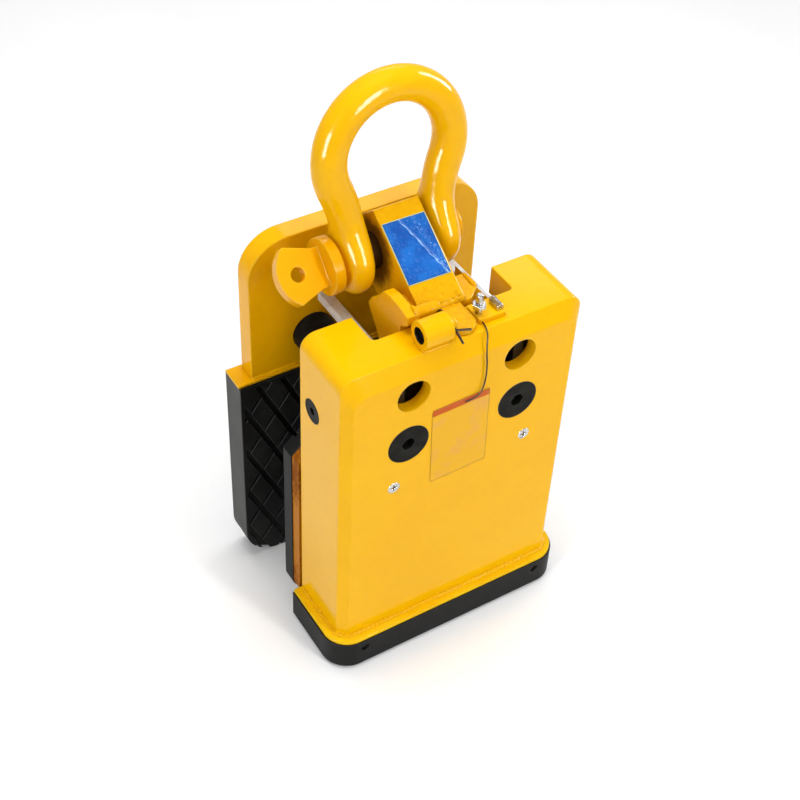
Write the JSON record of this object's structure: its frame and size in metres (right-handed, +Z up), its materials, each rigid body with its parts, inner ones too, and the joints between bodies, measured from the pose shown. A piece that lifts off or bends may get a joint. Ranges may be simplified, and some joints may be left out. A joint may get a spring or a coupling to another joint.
{
  "type": "slab lifting clamp",
  "caption": "Hanging slab clamp: lifting its bow shackle raises a block on rollers that pushes a rubber-faced pad across the gap to a fixed rubber jaw.",
  "frame": {"origin": "middle of the clamp's box on the floor under it", "axes": "+Z up, +X to the right seen from the front, -Y towards the housing's front face"},
  "size_m": [0.226, 0.1686, 0.4556],
  "materials": {
    "yellow_enamel": "glossy yellow enamel",
    "jaw_enamel": "glossy yellow enamel with thin edges",
    "black_rubber": "moulded rubber",
    "black_steel": "black oxide",
    "zinc_plate": "zinc plated",
    "plain_steel": "machined and oiled",
    "bronze": "turned bronze",
    "dark_wire": "dulled wire"
  },
  "bodies": {
    "frame": {"housing_shell": "yellow_enamel", "base_flange": "yellow_enamel", "bumper_strip": "black_rubber", "bumper_screws": "black_steel", "post_screws": "black_steel", "guide_screws": "zinc_plate", "side_screws": "black_steel", "connecting_posts": "black_steel", "rear_jaw_plate": "jaw_enamel", "rear_pad_ledge": "jaw_enamel", "rear_pad_rubber": "black_rubber", "rear_post_screws": "black_steel", "guide_cheeks": "zinc_plate", "cheek_spacers": "plain_steel", "stem_guide": "plain_steel", "latch_barrel": "yellow_enamel", "stop_bracket": "yellow_enamel", "stop_bolt": "zinc_plate", "stop_nut": "zinc_plate", "stop_pin": "zinc_plate", "safety_wire": "dark_wire"},
    "lift": {"lifting_block": "yellow_enamel", "lift_stem": "plain_steel", "cross_axle": "plain_steel", "axle_sleeves": "plain_steel", "axle_rings": "zinc_plate", "catch_plate": "yellow_enamel", "catch_rod": "yellow_enamel"},
    "pad": {"pad_plate": "jaw_enamel", "pad_rubber": "black_rubber", "ramp_gussets": "plain_steel", "bush_housings": "plain_steel", "pad_bushes": "bronze"},
    "shackle": {"shackle_bow": "yellow_enamel", "shackle_pin": "yellow_enamel"},
    "latch": {"latch_bolt": "yellow_enamel", "latch_cotter": "dark_wire"},
    "left_roller": {"roller_left": "plain_steel"},
    "right_roller": {"roller_right": "plain_steel"}
  },
  "joints": [
    {"name": "lift_slide", "type": "slide", "parent": "frame", "child": "lift", "axis": [0, 0, 1], "range_m": [0, 0.0831]},
    {"name": "pad_slide", "type": "slide", "parent": "frame", "child": "pad", "axis": [0, 1, 0], "range_m": [0, 0.048]},
    {"name": "shackle_swing", "type": "hinge", "parent": "lift", "child": "shackle", "pos_m": [0, 0.02745, 0.3191], "axis": [1, 0, 0], "range_deg": [-48, 75]},
    {"name": "latch_slide", "type": "slide", "parent": "frame", "child": "latch", "axis": [1, 0, 0], "range_m": [0, 0.014]},
    {"name": "left_roller_spin", "type": "hinge", "parent": "lift", "child": "left_roller", "pos_m": [-0.076, -0.02225, 0.10686], "axis": [1, 0, 0], "range_deg": [-500, 0]},
    {"name": "right_roller_spin", "type": "hinge", "parent": "lift", "child": "right_roller", "pos_m": [0.076, -0.02225, 0.10686], "axis": [1, 0, 0], "range_deg": [-500, 0]}
  ],
  "couplings": [
    {"joint": "pad_slide", "follows": "lift_slide", "ratio": 0.57735},
    {"joint": "left_roller_spin", "follows": "lift_slide", "rad_per_m": -104.97},
    {"joint": "right_roller_spin", "follows": "lift_slide", "rad_per_m": -104.97}
  ]
}
